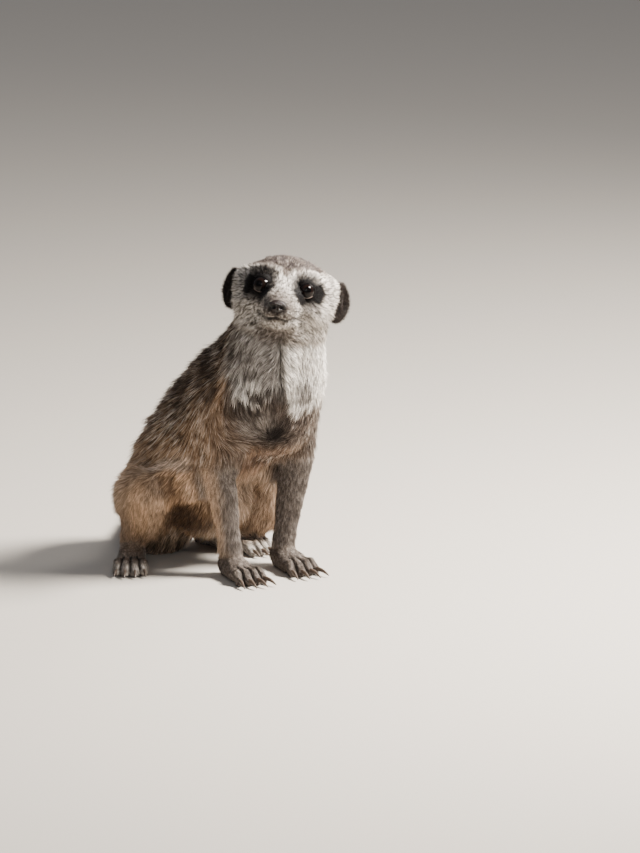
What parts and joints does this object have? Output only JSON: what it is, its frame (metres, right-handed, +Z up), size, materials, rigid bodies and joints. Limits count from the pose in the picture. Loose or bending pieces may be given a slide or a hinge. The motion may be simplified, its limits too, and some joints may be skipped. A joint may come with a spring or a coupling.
{
  "type": "meerkat",
  "caption": "Still, life-size meerkat sitting on its rump with straight forelegs, head turned to its right and tail laid out behind on the floor.",
  "frame": {"origin": "middle of the footprint (claws to tail tip) on the floor under the soles", "axes": "+Z up; the trunk and forelegs face -Y and the tail leads towards +Y; +X is the animal's left"},
  "size_m": [0.1886, 0.276, 0.178],
  "materials": {
    "grizzled_coat": "short fur, grizzled grey-brown with broken dark stripes over the back",
    "pale_coat": "short fur, whitish grey",
    "tan_coat": "short fur, tan with grey",
    "tail_coat": "short fur, yellowish tan with a dark tip",
    "ear_coat": "very short black fur",
    "eye": "wet gloss, very dark brown",
    "nose_skin": "damp, finely pebbled bare skin",
    "claw_horn": "satin horn, dark at the root and paler at the point"
  },
  "bodies": {
    "root": {"chest": "grizzled_coat", "claw_forepaw_left_1": "claw_horn", "claw_forepaw_left_2": "claw_horn", "claw_forepaw_left_3": "claw_horn", "claw_forepaw_left_4": "claw_horn", "claw_forepaw_right_1": "claw_horn", "claw_forepaw_right_2": "claw_horn", "claw_forepaw_right_3": "claw_horn", "claw_forepaw_right_4": "claw_horn", "claw_hind_foot_left_1": "claw_horn", "claw_hind_foot_left_2": "claw_horn", "claw_hind_foot_left_3": "claw_horn", "claw_hind_foot_left_4": "claw_horn", "claw_hind_foot_right_1": "claw_horn", "claw_hind_foot_right_2": "claw_horn", "claw_hind_foot_right_3": "claw_horn", "claw_hind_foot_right_4": "claw_horn", "ear_left": "ear_coat", "ear_right": "ear_coat", "eye_left": "eye", "eye_right": "eye", "forearm_left": "tan_coat", "forearm_right": "tan_coat", "forepaw_left": "tan_coat", "forepaw_right": "tan_coat", "head": "pale_coat", "hind_foot_left": "tan_coat", "hind_foot_right": "tan_coat", "loins": "grizzled_coat", "neck": "pale_coat", "nose": "nose_skin", "shank_left": "tan_coat", "shank_right": "tan_coat", "tail_middle": "tail_coat", "tail_root": "tail_coat", "tail_tip": "tail_coat", "thigh_left": "tan_coat", "thigh_right": "tan_coat", "upper_arm_left": "grizzled_coat", "upper_arm_right": "grizzled_coat"}
  },
  "joints": []
}
